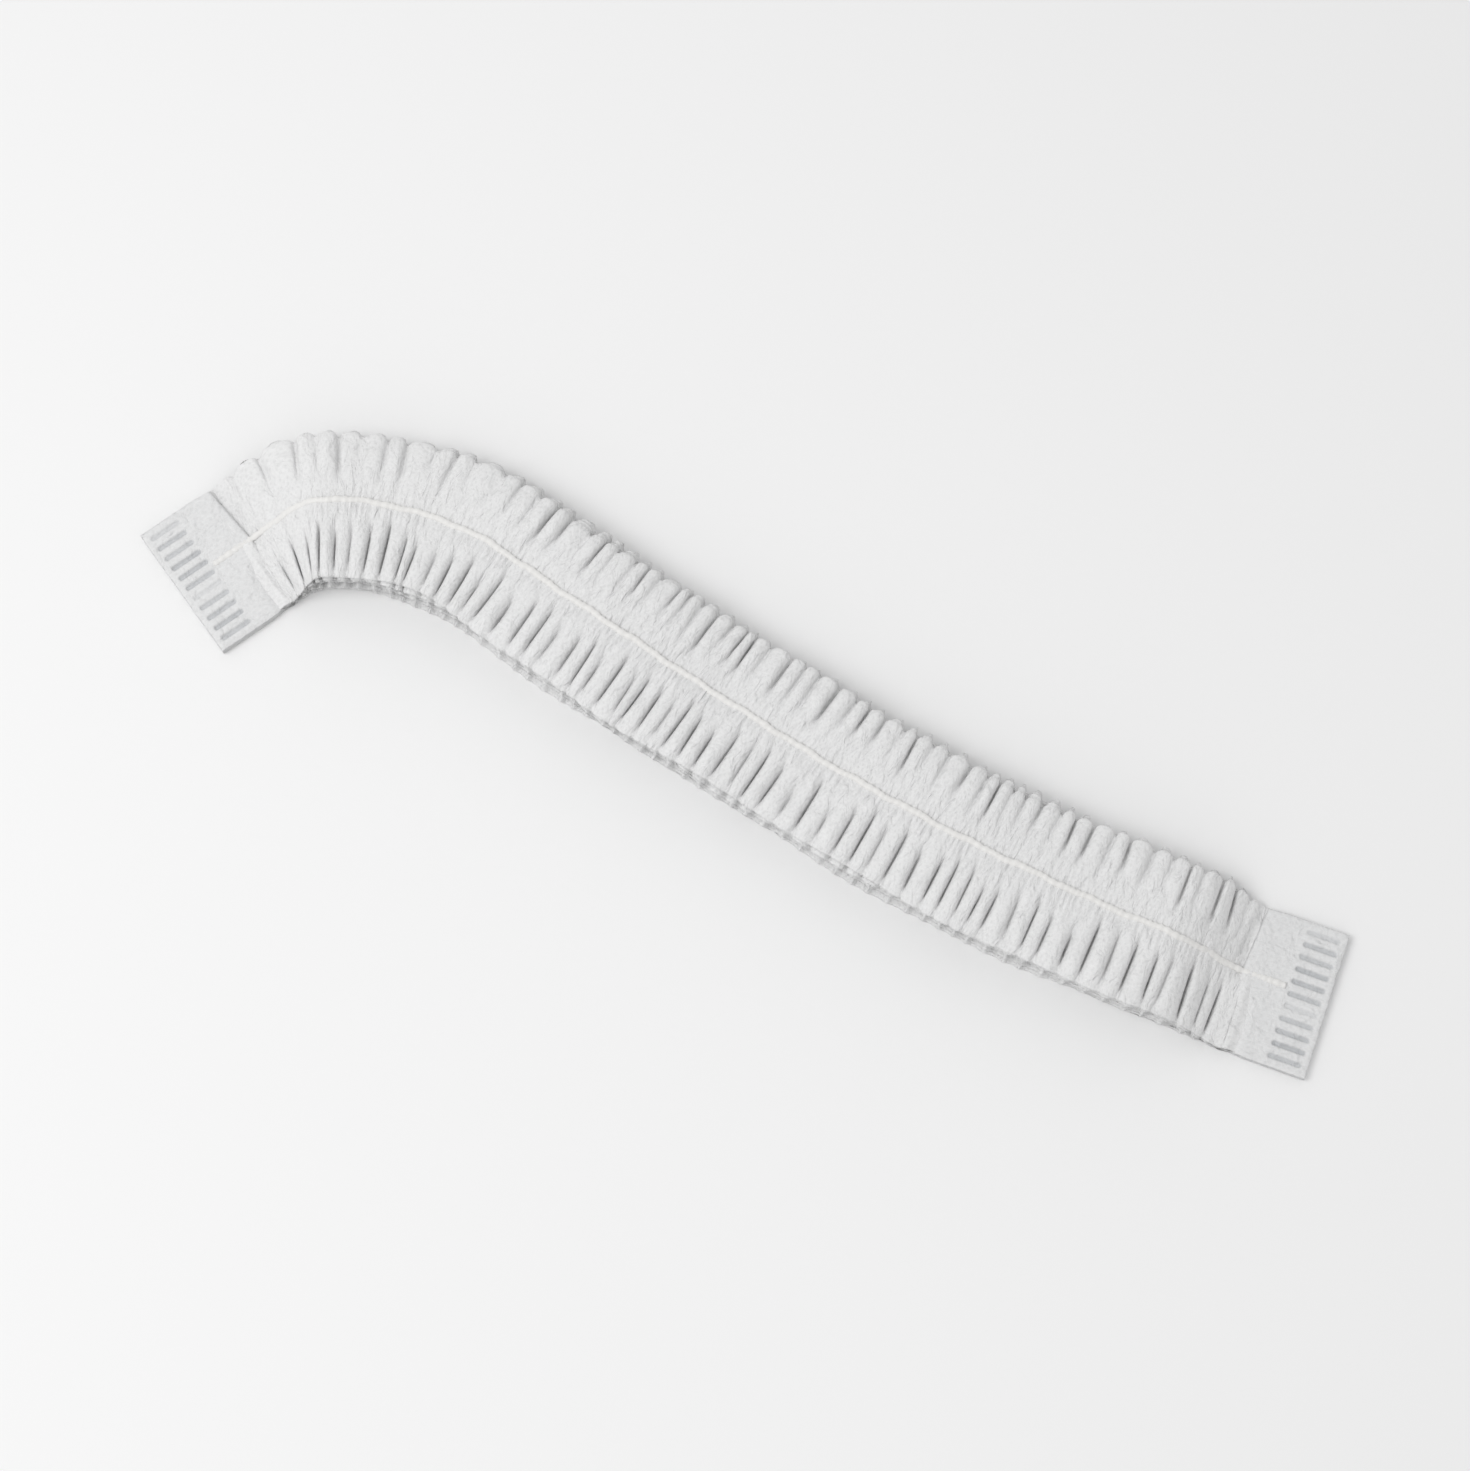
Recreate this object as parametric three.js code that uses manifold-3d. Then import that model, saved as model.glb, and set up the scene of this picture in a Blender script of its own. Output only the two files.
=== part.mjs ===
// A disposable nurse cap in the form in which it is supplied: one wide non-woven web, folded like an
// accordion into a narrow strip, welded flat at both ends and gathered by two elastic threads.
// Millimetres, +Z up. The strip lies on its face, and its middle line follows ROUTE over the ground.
import * as THREE from 'three';
import { mergeVertices } from 'three/addons/utils/BufferGeometryUtils.js';
import Module from 'manifold-3d';

// The strip.
const STRIP_WIDTH = 28;
const TAB_DEPTH = 15.6;
const TAB_THICKNESS = 2.4;
const START_HEADING = 41;
const ROUTE = [
  { stretch: 'front tab', length: 16, turn: 0 },
  { stretch: 'bend', length: 15, turn: -34 },
  { stretch: 'arch', length: 37, turn: -38 },
  { stretch: 'run', length: 70, turn: 4 },
  { stretch: 'tail', length: 84, turn: 12 },
  { stretch: 'back tab', length: 18, turn: 0 },
];

// The folded web. Each ply here stands for three of the real web's eighteen thin ones.
const PLIES = 6;
const WALL = 1.4;
const PLY_GAP = 0.7;
const FAN_PITCH = 2.9;
const RISE_LENGTH = 17;
// Beside a tab the plies stay pressed together, and their folds are solid that many walls deep.
const PRESSED_LENGTH = 10;
const PRESSED_FOLD = 3;
// One row for each fold from the top down: the side that it is on and how far its tip stands out
// past the strip's half width once the strip is gathered.
const FOLDS = [
  { side: -1, flare: 0.0 },
  { side: 1, flare: 0.6 },
  { side: -1, flare: -0.7 },
  { side: 1, flare: 3.2 },
  { side: -1, flare: 0.3 },
];

// The gathers. Each pleat leans: a steep front climbs from its crease to its ridge, and a broad
// back falls away to the next crease.
const PLEATS = 60;
const RIDGE = 0.24;
const CREASE = 0.88;
const PLEAT_DEPTH = { inner: 1.2, middle: 0.8, outer: 1.6 };
const FREE_EDGE_DEPTH = 0.6;
const SCALLOP = 0.9;
const FIRST_PLEAT_SHARE = 0.45;
const PLEAT_RAMP = 9;

// The weld bars pressed into both faces of each tab.
const BARS = 11;
const BAR_LENGTH = 6.4;
const BAR_WIDTH = 0.8;
const BAR_PITCH = 2.4;
const BAR_DEPTH = 0.5;
const BAR_INSET = 1.2;

// The elastic threads, one on each face, in the free edges of the outermost plies.
const THREAD_WIDTH = 1.6;
const THREAD_THICKNESS = 1.0;
const THREAD_SIDES = 6;
const CLEARANCE = 0.3;
const THREAD_LIFT = 0.1;
const THREAD_START = BAR_INSET + BAR_LENGTH + 0.5;

// What follows from those.
const HALF_WIDTH = STRIP_WIDTH / 2;
const PLY_PITCH = WALL + PLY_GAP;
const STACK = PLIES * WALL + (PLIES - 1) * PLY_GAP;
const LENGTH = ROUTE.reduce((sum, row) => sum + row.length, 0);
const BODY_LENGTH = LENGTH - 2 * TAB_DEPTH;
const PLEAT_PITCH = BODY_LENGTH / PLEATS;
const THREAD_U = CLEARANCE + THREAD_WIDTH / 2;
const TAB_SHARE = TAB_THICKNESS / STACK;

const wasm = await Module();
wasm.setup();

const lerp = THREE.MathUtils.lerp;
const clamp = THREE.MathUtils.clamp;

/** The middle line's place and heading (radians) at a distance s from the front tab's end. */
function routeAt(s) {
  let x = 0;
  let y = 0;
  let heading = THREE.MathUtils.degToRad(START_HEADING);
  let left = s;
  for (const { length, turn } of ROUTE) {
    const walked = Math.min(left, length);
    const turned = (THREE.MathUtils.degToRad(turn) * walked) / length;
    const chord = turned === 0 ? walked : (2 * Math.sin(turned / 2) * walked) / turned;
    x += chord * Math.cos(heading + turned / 2);
    y += chord * Math.sin(heading + turned / 2);
    heading += turned;
    left -= walked;
    if (left <= 0) break;
  }
  return { x, y, heading };
}

/** A point of the strip: s along it, u across it (positive on the arch's outside) and z up. */
function pointAt(s, u, z) {
  const { x, y, heading } = routeAt(s);
  return new THREE.Vector3(x - u * Math.sin(heading), y + u * Math.cos(heading), z);
}

/** How far s is inside the gathered body, from the nearer tab. */
const depthInBody = (s) => Math.min(s, LENGTH - s) - TAB_DEPTH;

/** The stack's height at s as a share of its full height: pressed flat at a tab, loose in the body. */
function loft(s) {
  const rise = THREE.MathUtils.smoothstep(depthInBody(s), 0, RISE_LENGTH);
  return lerp(TAB_SHARE, 1, rise);
}

/** 0 where the plies beside a tab stay pressed together, and 1 where they have come apart. */
const loose = (s) => THREE.MathUtils.smoothstep(depthInBody(s), PRESSED_LENGTH, RISE_LENGTH);

/** 1 on a ridge of the gathers and 0 in a crease, growing from a tab into the body. */
function ridge(s) {
  const phase = THREE.MathUtils.euclideanModulo((s - TAB_DEPTH) / PLEAT_PITCH, 1);
  const fromCrease = THREE.MathUtils.euclideanModulo(phase - CREASE, 1);
  const climb = fromCrease / (RIDGE + 1 - CREASE);
  const fall = (1 - fromCrease) / (CREASE - RIDGE);
  const grown = clamp(depthInBody(s) / PLEAT_RAMP, 0, 1);
  const started = depthInBody(s) > 0 ? 1 : 0;
  return Math.min(climb, fall) * lerp(FIRST_PLEAT_SHARE, 1, grown) * started;
}

/** The height of a ply's underside at u in the full stack, flat and without its gathers. */
function plyBase(ply, u) {
  const fanned = Math.max((ply - 1) * FAN_PITCH, 0);
  return lerp(ply * PLY_PITCH, fanned, clamp(u / HALF_WIDTH, 0, 1));
}

/** The depth of the gathers at u, which is least at the middle, where the threads hold the web. */
function pleatDepth(u) {
  const side = u < 0 ? PLEAT_DEPTH.inner : PLEAT_DEPTH.outer;
  return lerp(PLEAT_DEPTH.middle, side, clamp(Math.abs(u) / HALF_WIDTH, 0, 1));
}

/** The section of the folded web at s: one serpentine wall, its corners in order round it. */
function webSection(s) {
  const height = loft(s);
  const wave = ridge(s);
  const gathered = (height - TAB_SHARE) / (1 - TAB_SHARE);
  const under = (ply, u, depth = pleatDepth(u)) => {
    const onFloor = ply === 0 || (ply === 1 && u >= HALF_WIDTH / 2);
    return [u, height * (plyBase(ply, u) + (onFloor ? 0 : depth * wave))];
  };
  const over = (ply, u, depth = pleatDepth(u)) => [u, height * (plyBase(ply, u) + WALL + depth * wave)];
  const tip = (fold) => {
    const { side, flare } = FOLDS[fold];
    return side * (HALF_WIDTH + loose(s) * flare + SCALLOP * gathered * (wave - 1));
  };
  const between = (low, high) => [(low[0] + high[0]) / 2, (low[1] + high[1]) / 2];
  const outside = (fold) => {
    const upper = PLIES - 1 - fold;
    const { side } = FOLDS[fold];
    const shoulder = tip(fold) - side * WALL;
    const high = over(upper, shoulder);
    const low = under(upper - 1, shoulder);
    return [high, [tip(fold), between(low, high)[1]], low];
  };
  const inside = (fold) => {
    const upper = PLIES - 1 - fold;
    const { side } = FOLDS[fold];
    const root = tip(fold) - side * WALL * lerp(PRESSED_FOLD, 1, loose(s));
    return [between(over(upper - 1, root), under(upper, root))];
  };
  // The wall's two sides, both from the top ply's free edge to the bottom ply's.
  const down = [under(PLIES - 1, 0, FREE_EDGE_DEPTH)];
  const up = [over(PLIES - 1, 0, FREE_EDGE_DEPTH)];
  FOLDS.forEach(({ side }, fold) => {
    const next = PLIES - 2 - fold;
    const full = next > 0;
    if (side < 0) {
      down.push(...inside(fold), ...(full ? [over(next, 0)] : []));
      up.push(...outside(fold), ...(full ? [under(next, 0)] : []));
    } else {
      down.push(...outside(fold), ...(full ? [under(next, 0)] : []));
      up.push(...inside(fold), ...(full ? [over(next, 0)] : []));
    }
  });
  down.push(over(0, 0, FREE_EDGE_DEPTH));
  up.push(under(0, 0, FREE_EDGE_DEPTH));
  return [...up, ...down.reverse()];
}

/** A closed geometry lofted through a section of constant size at each station along the strip. */
function loftAlong(stations, section) {
  const rings = stations.map(section);
  const count = rings[0].length;
  const positions = [];
  rings.forEach((ring, j) => {
    ring.forEach(([u, z]) => positions.push(...pointAt(stations[j], u, z)));
  });
  const index = [];
  for (let j = 0; j + 1 < rings.length; j += 1) {
    for (let k = 0; k < count; k += 1) {
      const here = j * count + k;
      const beside = j * count + ((k + 1) % count);
      index.push(here, beside, beside + count, here, beside + count, here + count);
    }
  }
  for (const [j, facing] of [[0, -1], [rings.length - 1, 1]]) {
    const outline = rings[j].map(([u, z]) => new THREE.Vector2(u, z));
    for (const corners of THREE.ShapeUtils.triangulateShape(outline, [])) {
      const turns = THREE.ShapeUtils.area(corners.map((c) => outline[c])) * facing > 0;
      const ordered = turns ? corners : [...corners].reverse();
      index.push(...ordered.map((c) => j * count + c));
    }
  }
  const geometry = new THREE.BufferGeometry();
  geometry.setAttribute('position', new THREE.Float32BufferAttribute(positions, 3));
  geometry.setIndex(index);
  return geometry;
}

/** A manifold solid of a closed geometry. */
function toSolid(geometry) {
  const bare = geometry.clone();
  bare.deleteAttribute('normal');
  bare.deleteAttribute('uv');
  const merged = mergeVertices(bare, 1e-5);
  return new wasm.Manifold(new wasm.Mesh({
    numProp: 3,
    vertProperties: new Float32Array(merged.attributes.position.array),
    triVerts: new Uint32Array(merged.index.array),
  }));
}

/** A geometry of a manifold solid. */
function toGeometry(solid) {
  const { vertProperties, triVerts } = solid.getMesh();
  const geometry = new THREE.BufferGeometry();
  geometry.setAttribute('position', new THREE.BufferAttribute(vertProperties, 3));
  geometry.setIndex(new THREE.BufferAttribute(triVerts, 1));
  geometry.computeVertexNormals();
  return geometry;
}

/** A section with straight sides, for a loft: every corner at the same place at each station. */
const fixedSection = (corners) => () => corners;

/** The distance along the strip of a place measured from one tab's end. */
const fromEnd = (end, distance) => (end === 0 ? distance : LENGTH - distance);

/** Stations between two distances from a tab's end, in the order in which the strip runs. */
const ordered = (end, distances) => distances.map((d) => fromEnd(end, d)).sort((a, b) => a - b);

/** The stations of the gathered body: each ridge and each crease. */
function bodyStations() {
  const stations = [TAB_DEPTH];
  for (let pleat = 0; pleat < PLEATS; pleat += 1) {
    for (const share of [RIDGE, CREASE]) {
      stations.push(TAB_DEPTH + (pleat + share) * PLEAT_PITCH);
    }
  }
  return [...stations, LENGTH - TAB_DEPTH];
}

/** The flat welded tab at one end of the strip. */
function tabSolid(end) {
  const corners = [
    [-HALF_WIDTH, 0],
    [HALF_WIDTH, 0],
    [HALF_WIDTH, TAB_THICKNESS],
    [-HALF_WIDTH, TAB_THICKNESS],
  ];
  return toSolid(loftAlong(ordered(end, [0, TAB_DEPTH + CLEARANCE]), fixedSection(corners)));
}

/** The plies beside a tab, still pressed together: it fills the folds where they have no room. */
function pressedSolid(end, stations) {
  const within = (s) => Math.abs(s - fromEnd(end, 0)) <= TAB_DEPTH + PRESSED_LENGTH;
  const wallShare = 0.93;
  const reach = HALF_WIDTH - (PRESSED_FOLD - 1) * WALL;
  const section = (s) => {
    const height = loft(s);
    const wall = (ply, u) => [u, height * (plyBase(ply, u) + WALL * wallShare)];
    return [
      [-reach, (height * WALL) / 2],
      [-CLEARANCE, (height * WALL) / 2],
      wall(1, 0),
      wall(1, reach),
      wall(PLIES - 2, reach),
      wall(PLIES - 2, 0),
      wall(PLIES - 1, -CLEARANCE),
      wall(PLIES - 1, -reach),
    ];
  };
  const inTab = fromEnd(end, TAB_DEPTH - 1);
  const chosen = [inTab, ...stations.filter(within)].sort((a, b) => a - b);
  return toSolid(loftAlong(chosen, section));
}

/** The row of weld bars of one tab, as cutters for both of its faces. */
function barCutters(end) {
  const cutters = [];
  const middle = routeAt(fromEnd(end, BAR_INSET + BAR_LENGTH / 2));
  for (let bar = 0; bar < BARS; bar += 1) {
    const u = (bar - (BARS - 1) / 2) * BAR_PITCH;
    for (const z of [0, TAB_THICKNESS]) {
      const box = new THREE.BoxGeometry(BAR_LENGTH, BAR_WIDTH, 2 * BAR_DEPTH);
      box.translate(0, u, z);
      box.rotateZ(middle.heading);
      box.translate(middle.x, middle.y, 0);
      cutters.push(toSolid(box));
    }
  }
  return cutters;
}

/** The slot under one tab in which the back thread lies where the plies are pressed together. */
function slotCutter(end) {
  const top = THREAD_LIFT + THREAD_THICKNESS + CLEARANCE;
  const corners = [
    [THREAD_U - THREAD_WIDTH / 2 - CLEARANCE, -1],
    [THREAD_U + THREAD_WIDTH / 2 + CLEARANCE, -1],
    [THREAD_U + THREAD_WIDTH / 2 + CLEARANCE, top],
    [THREAD_U - THREAD_WIDTH / 2 - CLEARANCE, top],
  ];
  const distances = [THREAD_START - CLEARANCE];
  for (let d = TAB_DEPTH; d <= TAB_DEPTH + RISE_LENGTH; d += PLEAT_PITCH) distances.push(d);
  return toSolid(loftAlong(ordered(end, distances), fixedSection(corners)));
}

/** The folded, gathered and welded web, in one piece. */
function crownGeometry() {
  const stations = bodyStations();
  let solid = toSolid(loftAlong(stations, webSection));
  for (const end of [0, 1]) {
    solid = solid.add(pressedSolid(end, stations)).add(tabSolid(end)).subtract(slotCutter(end));
    for (const cutter of barCutters(end)) solid = solid.subtract(cutter);
  }
  return toGeometry(solid);
}

/** An elastic thread, with its underside at height(s). */
function threadGeometry(height) {
  const section = (s) => {
    const corners = [];
    for (let k = 0; k < THREAD_SIDES; k += 1) {
      const angle = (2 * Math.PI * (k + 0.5)) / THREAD_SIDES;
      corners.push([
        THREAD_U + (THREAD_WIDTH / 2) * Math.cos(angle),
        height(s) + (THREAD_THICKNESS / 2) * (1 + Math.sin(angle)),
      ]);
    }
    return corners;
  };
  const stations = [THREAD_START];
  for (let pleat = 0; pleat <= PLEATS; pleat += 1) stations.push(TAB_DEPTH + pleat * PLEAT_PITCH);
  return loftAlong([...stations, LENGTH - THREAD_START], section);
}

const frontHeight = (s) => {
  const ply = plyBase(PLIES - 2, THREAD_U) + WALL + pleatDepth(THREAD_U + THREAD_WIDTH / 2);
  return Math.max(TAB_THICKNESS, loft(s) * ply) + CLEARANCE;
};
const backHeight = () => THREAD_LIFT;

const nonwoven = new THREE.MeshStandardMaterial({ color: 0xf3f4f4, roughness: 0.9, metalness: 0 });
const rubber = new THREE.MeshStandardMaterial({ color: 0xf7f6f1, roughness: 0.65, metalness: 0 });

function named(name, geometry, material) {
  const mesh = new THREE.Mesh(geometry, material);
  mesh.name = name;
  return mesh;
}

const strip = new THREE.Group();
strip.add(named('pleated_crown', crownGeometry(), nonwoven));
strip.add(named('front_elastic', threadGeometry(frontHeight), rubber));
strip.add(named('back_elastic', threadGeometry(backHeight), rubber.clone()));

// The cap stands centred on the origin, with the ground at z = 0.
const extent = new THREE.Box3().setFromObject(strip);
const middle = extent.getCenter(new THREE.Vector3());
strip.position.set(-middle.x, -middle.y, -extent.min.z);

const cap = new THREE.Group();
cap.add(strip);

export default cap;
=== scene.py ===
"""Dresses the folded nurse cap: the gathered web, its two welded tabs and its two elastic threads."""

from __future__ import annotations

import logging
import math
from dataclasses import dataclass, field
from enum import Enum

import bpy
import numpy as np
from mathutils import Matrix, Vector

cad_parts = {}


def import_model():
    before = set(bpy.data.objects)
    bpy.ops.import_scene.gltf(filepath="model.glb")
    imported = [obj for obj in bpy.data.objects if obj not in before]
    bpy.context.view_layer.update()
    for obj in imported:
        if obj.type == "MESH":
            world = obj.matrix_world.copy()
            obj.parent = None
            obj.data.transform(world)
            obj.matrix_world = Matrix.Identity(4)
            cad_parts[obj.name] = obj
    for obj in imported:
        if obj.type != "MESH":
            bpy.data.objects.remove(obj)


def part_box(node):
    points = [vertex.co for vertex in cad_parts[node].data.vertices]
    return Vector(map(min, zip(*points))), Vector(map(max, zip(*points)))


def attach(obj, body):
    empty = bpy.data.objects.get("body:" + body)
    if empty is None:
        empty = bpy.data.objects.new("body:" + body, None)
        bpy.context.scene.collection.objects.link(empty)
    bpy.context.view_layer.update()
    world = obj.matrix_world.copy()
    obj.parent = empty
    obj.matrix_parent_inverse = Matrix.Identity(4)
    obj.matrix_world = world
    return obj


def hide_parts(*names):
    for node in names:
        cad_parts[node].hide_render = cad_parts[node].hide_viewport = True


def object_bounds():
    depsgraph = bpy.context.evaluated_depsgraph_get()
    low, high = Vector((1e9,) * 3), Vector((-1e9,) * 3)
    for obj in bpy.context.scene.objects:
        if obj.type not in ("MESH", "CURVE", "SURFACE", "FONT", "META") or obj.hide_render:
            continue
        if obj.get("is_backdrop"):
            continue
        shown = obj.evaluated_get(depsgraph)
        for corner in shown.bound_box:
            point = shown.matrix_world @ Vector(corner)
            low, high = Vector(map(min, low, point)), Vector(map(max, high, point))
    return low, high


MM = 0.001
# Multiples of this share fall evenly between 0 and 1 without ever repeating.
GOLDEN_SHARE = (math.sqrt(5.0) - 1.0) / 2.0
LOG = logging.getLogger("nurse_cap")
Array = np.ndarray


# ---------- small shared helpers


def smoothstep(low: float, high: float, value: Array | float) -> Array:
    """A smooth ramp.

    Args:
        low: the value at which the ramp leaves 0.
        high: the value at which it reaches 1.
        value: where it is read.

    Returns:
        The ramp's height, from 0 to 1.
    """
    share = np.clip((np.asarray(value, float) - low) / (high - low), 0.0, 1.0)
    return share * share * (3.0 - 2.0 * share)


def mix(low: Array | float, high: Array | float, share: Array | float) -> Array | float:
    """Low where share is 0 and high where it is 1."""
    return low + (high - low) * share


def linear(hex_colour: str) -> tuple[float, float, float, float]:
    """An sRGB hex colour as linear RGBA.

    Args:
        hex_colour: six hex digits, such as "F4F5F5".

    Returns:
        Red, green, blue and alpha.
    """
    channels = [int(hex_colour[i : i + 2], 16) / 255 for i in (0, 2, 4)]
    bent = [c / 12.92 if c <= 0.04045 else ((c + 0.055) / 1.055) ** 2.4 for c in channels]
    return (*bent, 1.0)


def add_node(
    tree: bpy.types.NodeTree,
    kind: str,
    settings: dict[str, object] | None = None,
    values: dict[str | int, object] | None = None,
    links: dict[str | int, bpy.types.NodeSocket] | None = None,
) -> bpy.types.Node:
    """Adds a shader node with its settings and links.

    Args:
        tree: the material's node tree.
        kind: the node's type.
        settings: attributes of the node itself.
        values: constants for its input sockets.
        links: sockets of other nodes that feed its input sockets.

    Returns:
        The new node.
    """
    node = tree.nodes.new(kind)
    for name, value in (settings or {}).items():
        setattr(node, name, value)
    for name, value in (values or {}).items():
        node.inputs[name].default_value = value
    for name, socket in (links or {}).items():
        tree.links.new(socket, node.inputs[name])
    return node


def ramp_stops(node: bpy.types.Node, stops: list[tuple[float, float]]) -> None:
    """Sets a colour ramp to grey stops.

    Args:
        node: the ColorRamp node.
        stops: pairs of position and grey value, in order.
    """
    elements = node.color_ramp.elements
    while len(elements) > len(stops):
        elements.remove(elements[-1])
    while len(elements) < len(stops):
        elements.new(1.0)
    for element, (position, grey) in zip(elements, stops):
        element.position = position
        element.color = (grey, grey, grey, 1.0)


def grid_faces(rows: int, columns: int) -> list[tuple[int, int, int, int]]:
    """The quads of a grid of vertices stored row by row."""
    corner = (np.arange(rows - 1)[:, None] * columns + np.arange(columns - 1)[None, :]).ravel()
    return list(zip(corner, corner + 1, corner + columns + 1, corner + columns))


def new_mesh_object(name: str, points: Array, faces: list[tuple[int, ...]]) -> bpy.types.Object:
    """A smooth-shaded mesh object at the frame's origin.

    Args:
        name: the piece's name.
        points: its vertices, in metres.
        faces: its faces, as vertex numbers.

    Returns:
        The new object.
    """
    mesh = bpy.data.meshes.new(name)
    mesh.from_pydata(points.reshape(-1, 3).tolist(), [], [tuple(map(int, face)) for face in faces])
    mesh.polygons.foreach_set("use_smooth", [True] * len(mesh.polygons))
    mesh.validate()
    mesh.update()
    piece = bpy.data.objects.new(name, mesh)
    bpy.context.scene.collection.objects.link(piece)
    return piece


def set_uv(piece: bpy.types.Object, along: Array, across: Array) -> None:
    """Lays the flat cloth's own coordinates on a mesh as its UV map.

    Args:
        piece: the mesh object.
        along: each vertex's place along the flat cloth, in metres.
        across: each vertex's place across it, in metres.
    """
    layer = piece.data.uv_layers.new(name="cloth")
    corners = np.empty(len(piece.data.loops), dtype=np.int64)
    piece.data.loops.foreach_get("vertex_index", corners)
    both = np.stack([along.ravel()[corners], across.ravel()[corners]], axis=1)
    layer.data.foreach_set("uv", both.ravel().astype(np.float32))


# ---------- the strip's layout


class Face(Enum):
    """The two faces of the folded strip."""

    FRONT = "front"
    BACK = "back"


class End(Enum):
    """The two ends of the strip."""

    FRONT = "front"
    BACK = "back"


@dataclass(frozen=True)
class Stretch:
    """A stretch of the strip's middle line: its length in mm and how far it turns in degrees."""

    length: float
    turn: float


@dataclass
class Route:
    """The strip's middle line over the ground, in mm, and the flat sizes that go with it."""

    stretches: tuple[Stretch, ...] = (
        Stretch(16.0, 0.0),
        Stretch(15.0, -34.0),
        Stretch(37.0, -38.0),
        Stretch(70.0, 4.0),
        Stretch(84.0, 12.0),
        Stretch(18.0, 0.0),
    )
    start_heading: float = 41.0
    step: float = 0.1
    half_width: float = 14.0
    tab_depth: float = 15.6
    tab_thickness: float = 2.4
    tab_top: float = 2.05
    tab_rise: float = 0.2
    stack: float = 11.9
    rise_length: float = 17.0
    thread_offset: float = 1.1
    thread_start: float = 8.1
    bend_reach: float = 6.0
    shift: tuple[float, float] = (0.0, 0.0)

    def __post_init__(self) -> None:
        """Walks the middle line once, in short steps, into a table."""
        self.length = sum(stretch.length for stretch in self.stretches)
        ends = np.cumsum([0.0] + [stretch.length for stretch in self.stretches])
        headings = np.cumsum([self.start_heading] + [stretch.turn for stretch in self.stretches])
        self.table = np.arange(0.0, self.length + self.step / 2, self.step)
        self.heading = np.radians(np.interp(self.table, ends, headings))
        middles = (self.heading[1:] + self.heading[:-1]) / 2
        self.x = np.concatenate([[0.0], np.cumsum(np.cos(middles) * self.step)])
        self.y = np.concatenate([[0.0], np.cumsum(np.sin(middles) * self.step)])

    def place(self, s: Array, u: Array, z: Array) -> Array:
        """Points of the strip.

        Args:
            s: distances along the middle line, in mm.
            u: distances across it, positive on the outside of the arch.
            z: heights.

        Returns:
            The points, in metres, with x, y and z along the last axis.
        """
        heading = np.interp(s, self.table, self.heading)
        x = np.interp(s, self.table, self.x) - u * np.sin(heading) + self.shift[0]
        y = np.interp(s, self.table, self.y) + u * np.cos(heading) + self.shift[1]
        return np.stack(np.broadcast_arrays(x, y, z), axis=-1) * MM

    def fit(self, node: str) -> None:
        """Moves the middle line so that its thread lies where a thread's solid does.

        Args:
            node: the name of the thread's CAD node.
        """
        inside = np.arange(self.thread_start, self.length - self.thread_start, self.step)
        own = self.place(inside, self.thread_offset, 0.0) / MM
        low, high = (np.asarray(corner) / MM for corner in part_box(node))
        middle = (own.min(axis=0) + own.max(axis=0)) / 2
        self.shift = tuple(((low + high) / 2 - middle)[:2])

    def bend(self, s: Array) -> Array:
        """How sharply the middle line bends round the arch's inside.

        Args:
            s: distances along the middle line, in mm.

        Returns:
            The bends, in degrees for each mm.
        """
        before = np.interp(s - self.bend_reach, self.table, self.heading)
        after = np.interp(s + self.bend_reach, self.table, self.heading)
        return np.degrees(before - after) / (2 * self.bend_reach)

    def from_tabs(self, s: Array) -> Array:
        """How far s is inside the gathered body, from the nearer tab."""
        return np.minimum(s, self.length - s) - self.tab_depth

    def tab_height(self, distance: Array) -> Array:
        """The height of a tab's upper face at a distance from its end: it rises towards the gathers."""
        return self.tab_top + self.tab_rise * smoothstep(9.0, 15.0, distance)

    def loft(self, s: Array) -> Array:
        """The stack's height as a share of its full height: pressed at a tab, loose in the body."""
        pressed = self.tab_thickness / self.stack
        return mix(pressed, 1.0, smoothstep(0.0, self.rise_length, self.from_tabs(s)))


# ---------- the gathered web


@dataclass
class PleatProfile:
    """One pleat's outline: two steep walls between a round and a sharp bend.

    In the top ply the ridge is round and the crease between two pleats is sharp. Going down the
    stack the plies nest, so that the ridge narrows and the trough widens. The fuller the bends are,
    the flatter is their middle and the tighter their shoulders.
    """

    lean: float = 85.0
    widest: float = 0.8
    sharpest: float = 0.06
    fullness: float = 1.7

    def outline(self, share: Array, roundness: float) -> tuple[Array, Array]:
        """Unit places and heights of a pleat.

        Args:
            share: how far round the outline from crease to crease, as shares of its length.
            roundness: 1 where the ridge is round, 0 where the trough is.

        Returns:
            The places along the strip and the heights, both from 0 to 1.
        """
        ridge = mix(self.sharpest, self.widest, roundness)
        trough = mix(self.widest, self.sharpest, roundness)
        fine = np.linspace(0.0, 1.0, 801)
        half = np.minimum(fine, 1.0 - fine)
        tilt = np.clip(half / (trough / 2), 0.0, 1.0) * np.clip((0.5 - half) / (ridge / 2), 0.0, 1.0)
        tilt = tilt**self.fullness
        angle = np.radians(self.lean) * tilt * np.sign(0.5 - fine)
        middle = (angle[1:] + angle[:-1]) / 2
        across = np.concatenate([[0.0], np.cumsum(np.cos(middle))])
        height = np.concatenate([[0.0], np.cumsum(np.sin(middle))])
        height -= np.linspace(0.0, height[-1], len(height))
        return np.interp(share, fine, across / across[-1]), np.interp(share, fine, height / height.max())


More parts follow.
